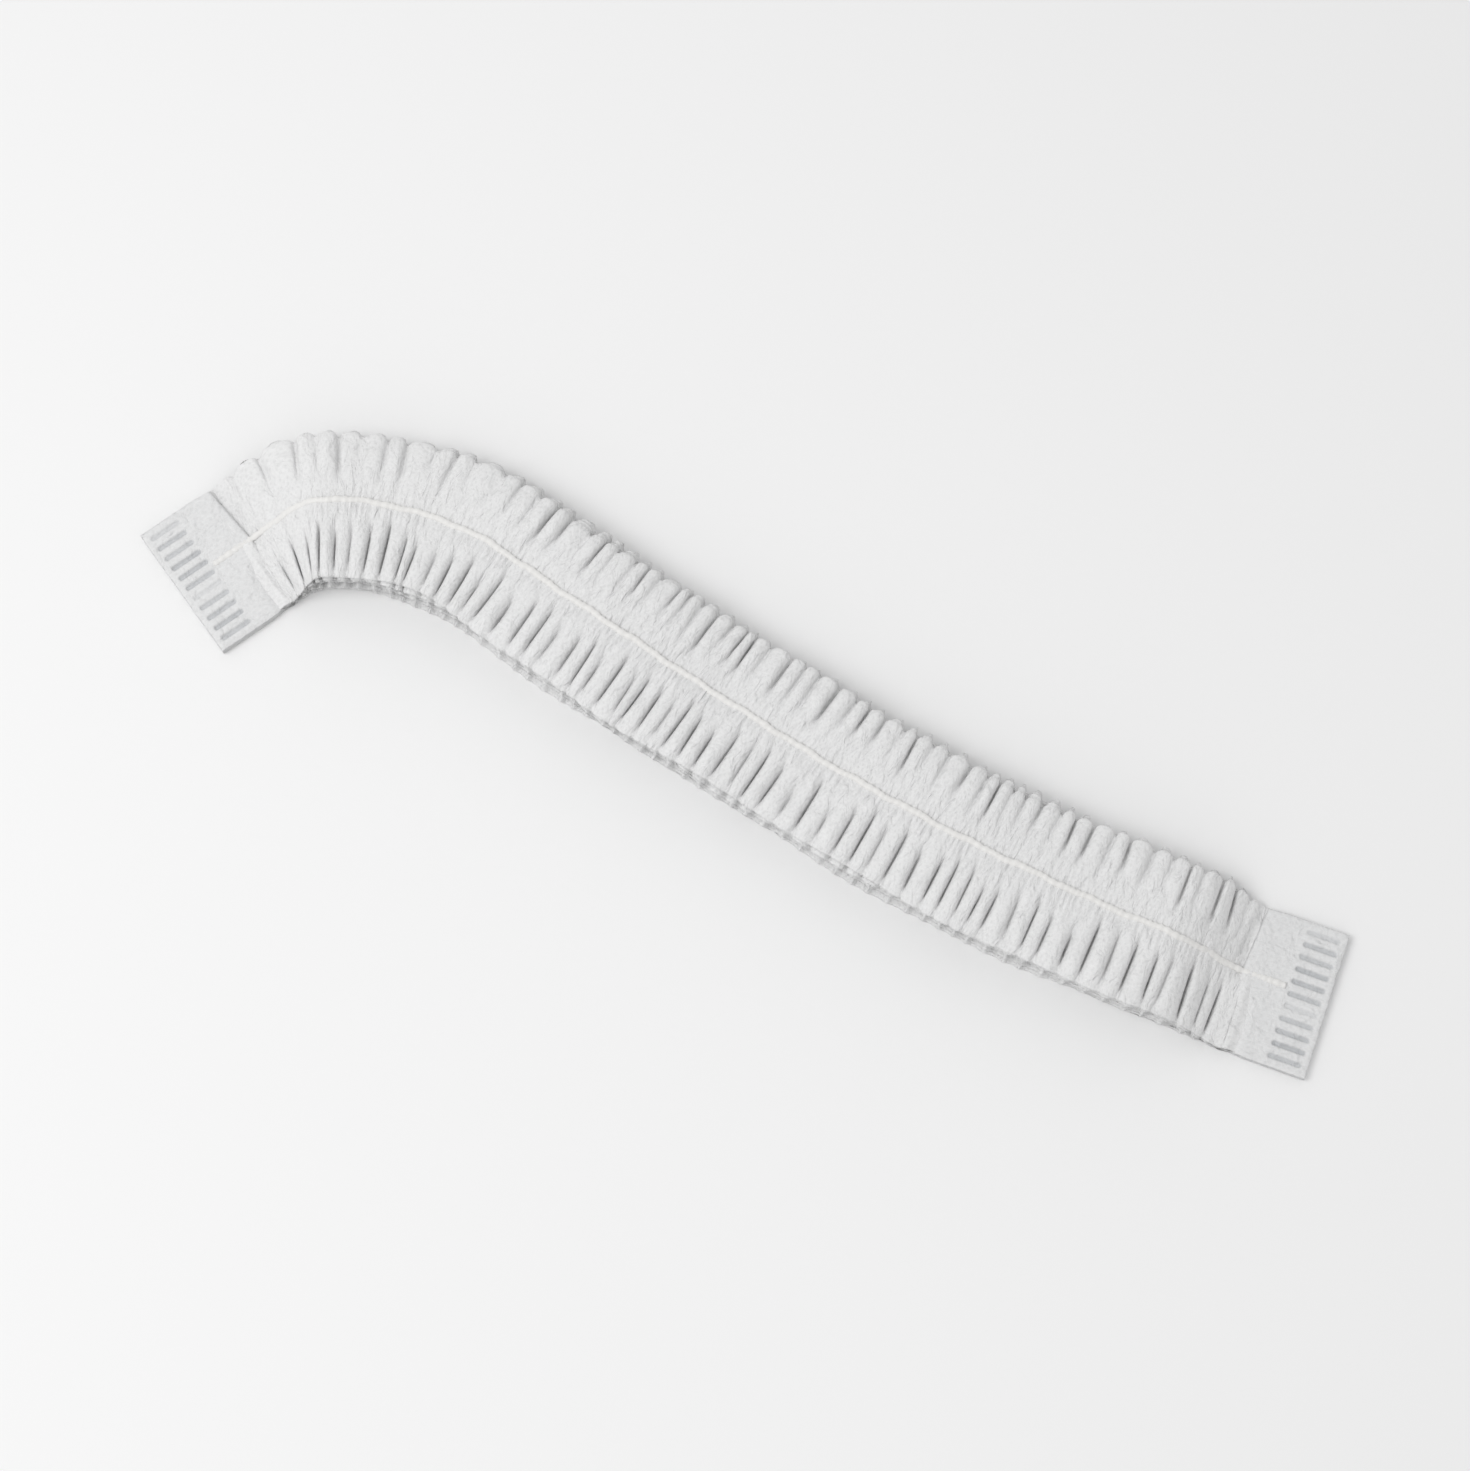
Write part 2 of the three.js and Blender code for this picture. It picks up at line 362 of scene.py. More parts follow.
@dataclass(frozen=True)
class CreaseStyle:
    """How the creases between pleats run on one side of the elastic.

    Attributes:
        strong: the share of the creases that are deep.
        strong_depth: the least depth of a deep crease, as a share of the full depth.
        weak_depth: the least depth of a shallow one.
        reach: where creases start, in mm from the elastic, from the nearest to the furthest.
        run: how far a crease takes to reach its depth, in mm.
        rim: how much shallower a crease gets at the fold, as a share.
        sway: how far a crease leans along the strip at the fold, in mm.
    """

    strong: float
    strong_depth: float
    weak_depth: float
    reach: tuple[float, float]
    run: float
    rim: float
    sway: float


@dataclass(frozen=True)
class Creases:
    """The drawn irregularities of every crease on one side of the elastic."""

    style: CreaseStyle
    depth: Array
    start: Array
    sway: Array

    @classmethod
    def drawn(cls, style: CreaseStyle, count: int, draw: np.random.Generator) -> Creases:
        """Draws the creases.

        Args:
            style: how they run.
            count: how many there are.
            draw: the random source.

        Returns:
            The creases.
        """
        spread_evenly = (np.arange(count) * GOLDEN_SHARE + draw.random()) % 1.0
        least = np.where(spread_evenly < style.strong, style.strong_depth, style.weak_depth)
        depth = np.clip(least + (1.0 - style.strong_depth) * draw.random(count), 0.0, 1.0)
        start = mix(style.reach[0], style.reach[1], draw.random(count) ** 1.4)
        sway = style.sway * np.clip(draw.standard_normal(count), -1.6, 1.6)
        sway[[0, -1]] = 0.0
        return cls(style, depth, start, sway)

    def cut(self, which: Array, off: Array) -> Array:
        """How deep creases are at a distance from the elastic, from 0 to 1.

        Args:
            which: the number of the crease for each station.
            off: distances from the elastic, one row for each station.

        Returns:
            The depths.
        """
        start = self.start[which][:, None]
        grown = np.clip((off - start) / self.style.run, 0.0, 1.0)
        rim = 1.0 - self.style.rim * smoothstep(10.9, 14.6, off)
        return self.depth[which][:, None] * grown * grown * (3.0 - 2.0 * grown) * rim


@dataclass
class Gathers:
    """Where each pleat lies along the strip, and how deep, wide and crooked it is."""

    route: Route
    samples: int
    profile: PleatProfile = field(default_factory=PleatProfile)
    pleats: int = 60
    seed: int = 11
    width_spread: float = 0.16
    crest_spread: float = 0.3
    inner_style: CreaseStyle = CreaseStyle(
        strong=0.7, strong_depth=0.76, weak_depth=0.42, reach=(0.6, 4.6), run=6.0, rim=0.8, sway=0.34
    )
    outer_style: CreaseStyle = CreaseStyle(
        strong=0.5, strong_depth=0.7, weak_depth=0.2, reach=(1.2, 5.0), run=7.5, rim=0.2, sway=0.5
    )
    opened: float = 0.45
    wrinkle_pitch: float = 1.25
    wrinkle_height: float = 0.26
    wrinkle_reach: float = 3.8

    def __post_init__(self) -> None:
        """Draws the irregularities of every pleat."""
        draw = np.random.default_rng(self.seed)
        body = self.route.length - 2 * self.route.tab_depth
        widths = 1.0 + self.width_spread * np.clip(draw.standard_normal(self.pleats), -1.8, 1.8)
        self.starts = self.route.tab_depth + np.concatenate([[0.0], np.cumsum(widths / widths.sum() * body)])
        self.crest = self.crest_spread * np.clip(draw.standard_normal(self.pleats), -1.6, 1.6)
        self.inner = Creases.drawn(self.inner_style, self.pleats + 1, draw)
        self.outer = Creases.drawn(self.outer_style, self.pleats + 1, draw)
        number = np.arange(self.pleats * self.samples + 1) / self.samples
        self.index = np.minimum(number.astype(int), self.pleats - 1)
        self.share = number - self.index
        bend = self.route.bend(mix(self.starts[self.index], self.starts[self.index + 1], self.share))
        self.kept = (1.0 - self.opened * smoothstep(0.15, 1.0, bend))[:, None]

    def cut(self, u: Array) -> Array:
        """How deep the creases are, passing evenly from each crease to the next.

        Round the outside of the arch the cloth is spread, and its creases are pulled partly open.

        Args:
            u: places across the strip, one row for each station.

        Returns:
            The depths, from 0 to 1.
        """
        off = np.abs(u - self.route.thread_offset)
        share = self.share[:, None]
        sides = [
            mix(side.cut(self.index, off), side.cut(self.index + 1, off), share)
            for side in (self.inner, self.outer)
        ]
        return np.where(u < self.route.thread_offset, sides[0], sides[1] * self.kept)

    def sway(self, u: Array) -> Array:
        """How far the pleats lean along the strip.

        Args:
            u: places across the strip, one row for each station.

        Returns:
            The shifts, in mm.
        """
        share = self.share[:, None]
        reach = (np.abs(u - self.route.thread_offset) / self.route.half_width) ** 1.4
        sides = [
            mix(side.sway[self.index][:, None], side.sway[self.index + 1][:, None], share)
            for side in (self.inner, self.outer)
        ]
        return np.where(u < self.route.thread_offset, sides[0], sides[1]) * reach

    def places(self, roundness: float, cut: Array) -> tuple[Array, Array]:
        """Every station's place along the strip, and its height in its pleat.

        Args:
            roundness: 1 for round ridges with sharp creases, 0 for the reverse, as on the underside.
            cut: how deep the creases are, by station and place across.

        Returns:
            The places by station and place across, in mm, and the heights by station.
        """
        place, height = self.profile.outline(self.share, roundness)
        widths = np.diff(self.starts)[self.index]
        even = mix(self.share[:, None], place[:, None], np.clip(1.7 * cut, 0.0, 1.0))
        return self.starts[self.index][:, None] + widths[:, None] * even, height

    def wrinkles(self, s: Array, u: Array) -> Array:
        """The fine wrinkles that the elastic draws up close beside it.

        Args:
            s: distances along the strip, in mm.
            u: places across it, in mm.

        Returns:
            Their heights, in mm.
        """
        off = np.abs(u - self.route.thread_offset)
        phase = s / self.wrinkle_pitch + 0.3 * np.sin(0.83 * s) + 0.05 * u * np.sin(0.31 * s)
        strength = 0.62 + 0.38 * np.sin(0.47 * s + 1.7) * np.sin(0.21 * s)
        fade = np.exp(-((off / self.wrinkle_reach) ** 2)) * mix(1.0, 0.5, smoothstep(0.0, 2.0, u))
        return self.wrinkle_height * strength * fade * np.sin(2 * math.pi * phase)


@dataclass
class CrownWeb:
    """The one non-woven web: folded in plies, gathered in pleats and pressed together at the tabs."""

    route: Route
    full_plies: int = 16
    shown_samples: int = 18
    hidden_samples: int = 9
    ply_pitch: float = 0.505
    lowest: float = 0.12
    flat_length: float = 530.0
    tab_stations: tuple[float, ...] = (12.7, 13.2, 13.7, 14.2, 14.7, 15.15)
    depth_full: float = 3.4
    drawn_at_tab: float = 0.13
    drawn_within: tuple[float, float] = (5.5, 9.0)
    pinch: float = 0.55
    fold_radius: float = 0.34
    scallop_inner: float = 0.7
    scallop_outer: float = 1.1
    free_edge: float = 1.5

    def __post_init__(self) -> None:
        """Sets out the same gathers twice: closely for the shown plies and widely for the rest."""
        self.shown = Gathers(self.route, self.shown_samples)
        self.hidden = Gathers(self.route, self.hidden_samples)

    @property
    def top(self) -> int:
        """The number of the top half ply, counting from 0 for the bottom one."""
        return self.full_plies + 1

    def shares(self, ply: int) -> Array:
        """Where a ply's columns of points lie from one edge to the other: closer where it shows.

        Args:
            ply: its number.

        Returns:
            The places, as shares of the ply's width.
        """
        if ply in (self.top, 0):
            even = np.linspace(0.0, 1.0, 17 if ply else 10)
            return mix(even, smoothstep(0.0, 1.0, even), 0.35)
        if ply == self.top - 1:
            even = np.linspace(0.0, 1.0, 16)
            shown = 0.44 + 0.56 * mix(even, smoothstep(0.0, 1.0, even), 0.3)
            return np.concatenate([[0.0, 0.1, 0.24, 0.36], shown])
        return np.linspace(0.0, 1.0, {self.top - 2: 6, 1: 8}.get(ply, 4))

    def level(self, ply: int, u: Array) -> Array:
        """A ply's height in the loose stack, without its gathers.

        Args:
            ply: its number.
            u: places across the strip, in mm.

        Returns:
            The heights, in mm.
        """
        low = self.lowest + ply * self.ply_pitch
        shoulder = smoothstep(0.7, 1.12, np.abs(u) / self.route.half_width)
        raised = 0.0
        if ply == self.top - 1:
            raised = (self.ply_pitch - 0.06) * smoothstep(-0.5, 2.2, u)
        return (low + raised) * (1.0 - 0.16 * shoulder)

    def rows_at(self, gathers: Gathers, ply: int, u: Array) -> tuple[Array, Array, Array]:
        """Places along the strip, unit gather heights and crease depths, with both tabs' stations.

        Args:
            gathers: the set of stations.
            ply: the ply's number.
            u: places across, by station.

        Returns:
            The three, by station and place across.
        """
        count = len(self.tab_stations)
        depth = min(self.top - ply, ply)
        body = u[count:-count]
        held = min(depth / 3.0, 1.0) * (1.0 - smoothstep(-1.0, 1.5, body) if depth == 1 else 1.0)
        cut = mix(gathers.cut(body), 1.0 - 0.25 * smoothstep(10.6, 14.4, np.abs(body)), held)
        s, height = gathers.places(ply / self.top, cut)
        s = s + gathers.sway(body)
        ends = np.array(self.tab_stations)[:, None] + 0.0 * u[:count]
        wave = np.broadcast_to(height[:, None], cut.shape)
        s = np.concatenate([ends, s, self.route.length - ends[::-1]])
        flat = np.zeros_like(ends)
        return s, np.concatenate([flat, wave, flat]), np.concatenate([flat, cut, flat])

    def crests(self, gathers: Gathers, cut: Array) -> Array:
        """The uneven heights of the ridges.

        Args:
            gathers: the set of stations.
            cut: how deep the creases are, by station and place across.

        Returns:
            The heights, by station and place across.
        """
        count = len(self.tab_stations)
        rounded = np.sin(math.pi * gathers.share) ** 2 * gathers.crest[gathers.index]
        padded = np.concatenate([np.zeros(count), rounded, np.zeros(count)])
        return padded[:, None] * cut

    def pressed(self, s: Array, u: Array) -> Array:
        """How the tabs press the stack beside them.

        The stack dives into the weld, stands up in a low ridge beside it on the inner half, and
        drops in a deep first crease on the outer half.

        Args:
            s: distances along the strip, in mm.
            u: places across it, in mm.

        Returns:
            What is left of the stack's height, as a share.
        """
        inside = self.route.from_tabs(s)
        outer = smoothstep(-1.5, 2.0, u)
        dive = mix(0.7, 1.0, smoothstep(-2.6, -0.5, inside))
        ridge = 0.16 * (1.0 - outer) * np.exp(-(((inside + 0.1) / 1.0) ** 2))
        crease = 0.5 * outer * np.exp(-(((inside - 0.4 - 0.1 * (14.0 - u)) / 1.25) ** 2))
        return dive * (1.0 + ridge - crease)

    def surface(self, gathers: Gathers, ply: int, u: Array) -> Array:
        """Points of a ply.

        Args:
            gathers: the set of stations.
            ply: its number.
            u: distances across the strip, one row for each station.

        Returns:
            The points, in metres.
        """
        s, wave, cut = self.rows_at(gathers, ply, u)
        down = ply / self.top
        loft = self.route.loft(s)
        drawn = self.drawn(s, u)
        gather = self.depth_full * (loft * down + drawn * (wave - down) * cut)
        gather = gather + self.crests(gathers, cut) * down * drawn
        z = loft * self.level(ply, u) * (1.0 + self.heave(s, u) * down) + gather
        z = z * self.pressed(s, u) + self.at_thread(gathers, ply, s, u) * drawn
        return self.route.place(s, u, np.maximum(z, self.lowest * 0.7 + 0.03 * ply))

    def drawn(self, s: Array, u: Array | float) -> Array:
        """How deep the gathers are beside a tab: on the inner half they grow sooner.

        Args:
            s: distances along the strip, in mm.
            u: places across it, in mm.

        Returns:
            Their depth, as a share of the depth in the body.
        """
        inside = self.route.from_tabs(s)
        inner, outer = (smoothstep(-1.0, within, inside) for within in self.drawn_within)
        return mix(self.drawn_at_tab, 1.0, mix(inner, outer, smoothstep(-6.0, 1.0, u)))

    def heave(self, s: Array, u: Array) -> Array:
        """The slow unevenness of the loose stack's height, as a share of it."""
        body = smoothstep(0.0, self.route.rise_length, self.route.from_tabs(s))
        return body * (0.045 * np.sin(0.083 * s + 0.11 * u) + 0.03 * np.sin(0.21 * s - 0.16 * u + 1.0))

    def at_thread(self, gathers: Gathers, ply: int, s: Array, u: Array) -> Array:
        """How the thread draws a face ply in and wrinkles it.

        Args:
            gathers: the set of stations.
            ply: its number.
            s: distances along the strip, in mm.
            u: places across it, in mm.

        Returns:
            What it adds to the ply's heights, in mm.
        """
        depth = min(self.top - ply, ply)
        if depth > 1:
            return np.zeros_like(s)
        inward = -1.0 if ply > 1 else 1.0
        dent = self.pinch * np.exp(-(((u - self.route.thread_offset) / 2.1) ** 2))
        under = 1.0 if depth == 0 else smoothstep(0.0, 2.0, u)
        return inward * (dent + 0.1 * depth) + under * gathers.wrinkles(s, u)

    def seat(self, face: Face, s: Array) -> Array:
        """The height of the cloth's surface under a thread.

        Args:
            face: the face that carries the thread.
            s: distances along the strip, in mm.

        Returns:
            The heights, in mm.
        """
        if face is Face.BACK:
            return np.full_like(s, self.lowest + self.pinch)
        drawn = self.drawn(s, self.route.thread_offset)
        level = (self.lowest + self.top * self.ply_pitch) * (1.0 + self.heave(s, self.route.thread_offset))
        return self.route.loft(s) * (level + self.depth_full) - drawn * self.pinch

    def tip(self, gathers: Gathers, fold: int, side: int) -> Array:
        """How far out a fold reaches at each station.

        Args:
            gathers: the set of stations.
            fold: the number of the ply over the fold.
            side: -1 on the inside of the arch, 1 on the outside.

        Returns:
            The distances from the middle line, signed.
        """
        edge = np.full((len(gathers.index) + 2 * len(self.tab_stations), 1), side * self.route.half_width)
        s, wave, cut = (rows[:, 0] for rows in self.rows_at(gathers, fold, edge))
        inside = self.route.from_tabs(s)
        down = 1.0 - fold / self.top
        wander = np.sin(0.071 * s + 2.3 * fold) + 0.6 * np.sin(0.19 * s + 4.1 * fold)
        flare = mix(0.5, 3.4, down) if side > 0 else -0.7 * math.sin(math.pi * down)
        reach = self.route.half_width + smoothstep(0.0, 10.0, inside) * (flare + 0.42 * wander)
        scallop = self.scallop_outer if side > 0 else self.scallop_inner
        ripple = scallop * smoothstep(-0.2, 3.0, inside) * (1.0 - wave) * mix(0.4, 1.0, cut)
        return side * (reach - ripple - 0.35 * (1.0 - smoothstep(-2.0, 1.0, inside)))

    def ply_rows(self, gathers: Gathers, ply: int) -> tuple[Array, Array]:
        """A ply's points and their places across it.

        Args:
            gathers: the set of stations.
            ply: its number.

        Returns:
            The points by station and row, and each row's distance across the flat ply, in mm.
        """
        side = self.starting_side(ply)
        begin = self.tip(gathers, ply + 1, side) - side * self.fold_radius if ply < self.top else None
        end = self.tip(gathers, ply, -side) + side * self.fold_radius if ply > 0 else None
        begin = np.full_like(end, self.free_edge) if begin is None else begin
        end = np.full_like(begin, self.free_edge) if end is None else end
        shares = self.shares(ply)
        u = begin[:, None] + (end - begin)[:, None] * shares[None, :]
        return self.surface(gathers, ply, u), float(np.abs(end - begin).mean()) * shares

    def starting_side(self, ply: int) -> int:
        """The side of the strip from which a ply's columns are counted."""
        return 1 if (self.top - ply) % 2 == 0 else -1

    def fold_row(self, gathers: Gathers, ply: int) -> Array:
        """The outermost row of the fold that joins a ply to the one below it.

        Args:
            gathers: the set of stations.
            ply: the upper ply's number.

        Returns:
            The row's points, in metres.
        """
        side = -self.starting_side(ply)
        edge = (self.tip(gathers, ply, side) - side * self.fold_radius)[:, None]
        upper = self.surface(gathers, ply, edge)
        lower = self.surface(gathers, ply - 1, edge)
        s = self.rows_at(gathers, ply, edge)[0]
        tip = self.route.place(s, edge + side * self.fold_radius, 0.0 * s)
        return (upper + lower) / 2 + (tip - self.route.place(s, edge, 0.0 * s))

    def grid(self, gathers: Gathers, plies: range, width: float) -> tuple[Array, Array]:
        """The points of a run of plies with the folds between and after them.

        Args:
            gathers: the set of stations.
            plies: the plies' numbers, from the top down.
            width: how far across the flat web the run starts, in mm.

        Returns:
            The points by station and row, and each row's place across the flat web, in mm.
        """
        columns: list[Array] = []
        across: list[float] = []
        turn = self.fold_radius * math.pi / 2
        if plies[0] < self.top:
            columns.append(self.fold_row(gathers, plies[0] + 1))
            across.append(width)
            width += turn
        for ply in plies:
            points, places = self.ply_rows(gathers, ply)
            columns.append(points)
            across.extend(width + places)
            width = across[-1]
            if ply > 0:
                columns.append(self.fold_row(gathers, ply))
                width += turn
                across.append(width)
                width += turn
        return np.concatenate(columns, axis=1), np.array(across)

    def along(self, gathers: Gathers) -> Array:
        """Each station's place along the flat web.

        Args:
            gathers: the set of stations.

        Returns:
            The places, in mm.
        """
        ends = np.array(self.tab_stations)
        body = np.linspace(self.route.tab_depth, self.flat_length - self.route.tab_depth, len(gathers.index))
        return np.concatenate([ends, body, self.flat_length - ends[::-1]])

    def build(self, cloth: bpy.types.Material) -> bpy.types.Object:
        """Makes the web.

        Args:
            cloth: its finish.

        Returns:
            The web's object.
        """
        upper, upper_across = self.grid(self.shown, range(self.top, self.top - 2, -1), 0.0)
        lower, lower_across = self.grid(self.hidden, range(self.top - 2, -1, -1), float(upper_across[-1]))
        points = np.concatenate([upper.reshape(-1, 3), lower.reshape(-1, 3)])
        offset = upper.shape[0] * upper.shape[1]
        faces = grid_faces(*upper.shape[:2]) + [
            tuple(offset + corner for corner in face) for face in grid_faces(*lower.shape[:2])
        ]
        piece = new_mesh_object("crown_web", points, faces)
        flats = [
            np.broadcast_arrays(self.along(gathers)[:, None] * MM, across[None, :] * MM)
            for gathers, across in ((self.shown, upper_across), (self.hidden, lower_across))
        ]
        set_uv(piece, *(np.concatenate([flat[axis].ravel() for flat in flats]) for axis in (0, 1)))
        piece.data.materials.append(cloth)
        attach(piece, "root")
        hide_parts("pleated_crown")
        return piece


# ---------- threads and tabs


@dataclass
class ElasticThread:
    """A flat elastic thread along the middle of one face of the strip."""

    route: Route
    web: CrownWeb
    face: Face
    width: float = 1.25
    thickness: float = 0.95
    sides: int = 14
    step: float = 0.36
    sunk: float = 0.55
    sunk_in_tab: float = 0.89
    bead: float = 0.12

    def bottom(self, s: Array) -> Array:
        """The height of the thread's underside.

        Args:
            s: distances along the strip, in mm.

        Returns:
            The heights, in mm.
        """
        if self.face is Face.BACK:
            return np.full_like(s, 0.1)
        inside = self.route.from_tabs(s)
        seat = np.maximum(self.web.seat(self.face, s), self.route.tab_height(inside + self.route.tab_depth))
        return seat - mix(self.sunk_in_tab, self.sunk, smoothstep(0.0, 6.0, inside))

    def build(self, rubber: bpy.types.Material) -> bpy.types.Object:
        """Makes the thread.

        Args:
            rubber: its finish.

        Returns:
            The thread's object.
        """
        start = self.route.thread_start
        s = np.arange(start, self.route.length - start, self.step)
        angle = 2 * math.pi * np.arange(self.sides) / self.sides
        phase = s / self.web.shown.wrinkle_pitch + 0.3 * np.sin(0.83 * s)
        beads = 1.0 + self.bead * np.sin(2 * math.pi * phase) + 0.05 * np.sin(0.61 * s)
        wander = 0.14 * np.sin(0.53 * s) + 0.08 * np.sin(1.31 * s + 0.8)
        wander = wander * smoothstep(0.0, 8.0, self.route.from_tabs(s))
        u = self.route.thread_offset + wander[:, None] + (self.width / 2) * beads[:, None] * np.cos(angle)
        z = self.bottom(s)[:, None] + (self.thickness / 2) * beads[:, None] * (1.0 + np.sin(angle))
        points = self.route.place(s[:, None], u, z)
        count = len(s)
        faces = []
        for j in range(count - 1):
            for k in range(self.sides):
                here, beside = j * self.sides + k, j * self.sides + (k + 1) % self.sides
                faces.append((here, beside, beside + self.sides, here + self.sides))
        faces.append(tuple(reversed(range(self.sides))))
        faces.append(tuple((count - 1) * self.sides + k for k in range(self.sides)))
        piece = new_mesh_object(f"{self.face.value}_thread", points, faces)
        piece.data.materials.append(rubber)
        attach(piece, "root")
        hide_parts(f"{self.face.value}_elastic")
        return piece


@dataclass
class WeldedTab:
    """The flat end of the strip: all its plies pressed together and welded under a row of bars."""

    route: Route
    end: End
    seed: int
    lowest: float = 0.08
    bars: int = 11
    bar_length: float = 6.4
    bar_width: float = 0.95
    bar_pitch: float = 2.4
    bar_inset: float = 1.2
    bar_depth: float = 0.5
    puff: float = 0.1
    slightly_fused: float = 0.16
    barred: float = 8.9
    columns: int = 176
    barred_rows: int = 56
    flat_rows: int = 18
    layers: int = 14
    tucks: tuple[float, float] = (-0.06, 0.1)
    strengths: tuple[float, ...] = (0.5, 0.85, 0.8, 1.0, 0.95, 0.85, 0.32, 0.8, 0.9, 1.0, 0.85)

    def reach(self, u: Array) -> Array:
        """How far the pressed plies reach from the tab's end at u, in mm."""
        slanted = 15.5 + 0.09 * (self.route.half_width - u)
        return mix(14.2, slanted, smoothstep(-6.0, 0.5, u))

    def pressed(self, distance: Array, u: Array) -> Array:
        """How far the bars press in at a place of the tab, from 0 to 1.

        Args:
            distance: from the tab's end, in mm.
            u: across the strip.

        Returns:
            The share of the bars' depth.
        """
        middle = self.bar_inset + self.bar_length / 2
        total = np.zeros(np.broadcast(distance, u).shape)
        radius = self.bar_width / 2
        for bar, strength in enumerate(self.strengths):
            place = ((self.bars - 1) / 2 - bar) * self.bar_pitch
            beyond = np.maximum(np.abs(distance - middle) - (self.bar_length / 2 - radius), 0.0)
            away = np.hypot(beyond, u - place)
            total = np.maximum(total, strength * (1.0 - smoothstep(radius - 0.24, radius + 0.16, away)))
        return total

    def relief(self, distance: Array, u: Array) -> Array:
        """The thickness that the bars take from one face, with the cloth puffed between them.

        Args:
            distance: from the tab's end, in mm.
            u: across the strip.

        Returns:
            The depths below the flat face, in mm.
        """
        pressed = self.pressed(distance, u)
        rounding = 0.5 - 0.5 * np.cos(2 * math.pi * u / self.bar_pitch)
        inside = smoothstep(0.2, 1.6, distance) * (1.0 - smoothstep(7.2, 8.8, distance))
        edge = 1.0 - smoothstep(0.0, 0.6, distance)
        side = smoothstep(self.route.half_width - 0.7, self.route.half_width, np.abs(u))
        slack = 0.07 * np.sin(0.55 * distance + 0.35 * u) * np.sin(0.47 * u + self.seed)
        return (
            self.bar_depth * pressed
            - self.puff * rounding * inside * (1.0 - pressed)
            + 0.22 * np.maximum(edge, side)
            + slack * smoothstep(7.5, 11.0, distance)
        )

    def grid(self) -> tuple[Array, Array]:
        """Where the points of each face lie.

        Returns:
            Distances from the tab's end and places across, by row and column.
        """
        u = np.linspace(-self.route.half_width, self.route.half_width, self.columns)[None, :]
        barred = np.linspace(0.0, self.barred, self.barred_rows)[:, None] + 0.0 * u
        share = np.linspace(0.0, 1.0, self.flat_rows + 1)[1:, None]
        flat = self.barred + (self.reach(u) - self.barred) * share
        distance = np.concatenate([barred, flat])
        draw = np.random.default_rng(self.seed)
        ragged = np.convolve(draw.standard_normal(self.columns + 4), np.ones(5) / 5, "valid") * 0.1
        distance = distance + ragged[None, :] * (1.0 - smoothstep(0.0, 0.9, distance))
        return distance, np.broadcast_to(u, distance.shape)

    def build(self, cloth: bpy.types.Material) -> bpy.types.Object:
        """Makes the tab as one closed slab.

        Args:
            cloth: its finish, which turns to a film where the attribute "fused" is 1; the film's grey also
                carries painted shade for the bars' grooves.

        Returns:
            The tab's object.
        """
        distance, u = self.grid()
        relief = self.relief(distance, u)
        inner = 1.0 - smoothstep(-6.0, 0.5, u)
        end = smoothstep(-0.45, 0.0, distance - self.reach(u))
        sink = inner * smoothstep(-2.2, 0.0, distance - self.reach(u))
        high = self.route.tab_height(distance) - relief - 0.35 * end * (1.0 - inner) - 0.8 * sink
        low = self.lowest + np.clip(0.6 * relief, 0.0, None)
        narrowed = u * (1.0 - 0.02 * smoothstep(11.0, 15.0, distance))
        rings = self.rim(distance, narrowed, low, high)
        s = rings[0] if self.end is End.FRONT else self.route.length - rings[0]
        points = self.route.place(s, rings[1], rings[2])
        piece = new_mesh_object(f"{self.end.value}_tab", points, self.faces())
        # The flat coordinates run on down the rim, so that the cloth's relief isn't drawn out there.
        over_rim = np.tile(high.ravel()[self.border()], self.layers - 1)
        down = np.concatenate([high.ravel(), high.ravel(), over_rim]) - rings[2]
        set_uv(piece, (rings[0] + down) * MM, (rings[1] + self.route.half_width + down) * MM)
        # The fused share places the film's grey, which is partly the film's own colour and partly painted
        # shade for the bars' grooves.
        fused = piece.data.attributes.new("fused", "FLOAT", "POINT")
        pressed = self.pressed(distance, u).ravel()
        share = np.full(len(points), self.slightly_fused)
        share[: 2 * len(pressed)] += (1.0 - self.slightly_fused) * np.concatenate([pressed, pressed])
        fused.data.foreach_set("value", share.astype(np.float32))
        piece.data.materials.append(cloth)
        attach(piece, "root")
        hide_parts("pleated_crown")
        return piece

    def border(self) -> Array:
        """The border of a face's grid.

        Returns:
            Its vertices' numbers, in order round it.
        """
        rows = self.barred_rows + self.flat_rows
        grid = np.arange(rows * self.columns).reshape(rows, self.columns)
        return np.concatenate([grid[0, :-1], grid[:-1, -1], grid[-1, :0:-1], grid[:0:-1, 0]])

    def rim(self, along: Array, u: Array, low: Array, high: Array) -> tuple[Array, Array, Array]:
        """Every vertex of the slab: its upper grid, its lower grid and the layered rim between them.

        Args:
            along: distances from the tab's end, by row and column.
            u: places across.
            low: heights of the lower face.
            high: heights of the upper face.

        Returns:
            Distances from the end, places across and heights, each as one flat list.
        """
        border = self.border()
        edge_s, edge_u = along.ravel()[border], u.ravel()[border]
        on_side = np.abs(edge_u) > self.route.half_width * 0.975
        inward_s = np.where(edge_s < self.barred / 2, 1.0, -1.0)
        s_parts = [along.ravel(), along.ravel()]
        u_parts = [u.ravel(), u.ravel()]
        z_parts = [high.ravel(), low.ravel()]
        for layer in range(1, self.layers):
            tuck = self.tucks[layer % 2]
            s_parts.append(edge_s + np.where(on_side, 0.0, tuck * inward_s))
            u_parts.append(edge_u - np.where(on_side, tuck * np.sign(edge_u), 0.0))
            z_parts.append(mix(low.ravel()[border], high.ravel()[border], layer / self.layers))
        return np.concatenate(s_parts), np.concatenate(u_parts), np.concatenate(z_parts)

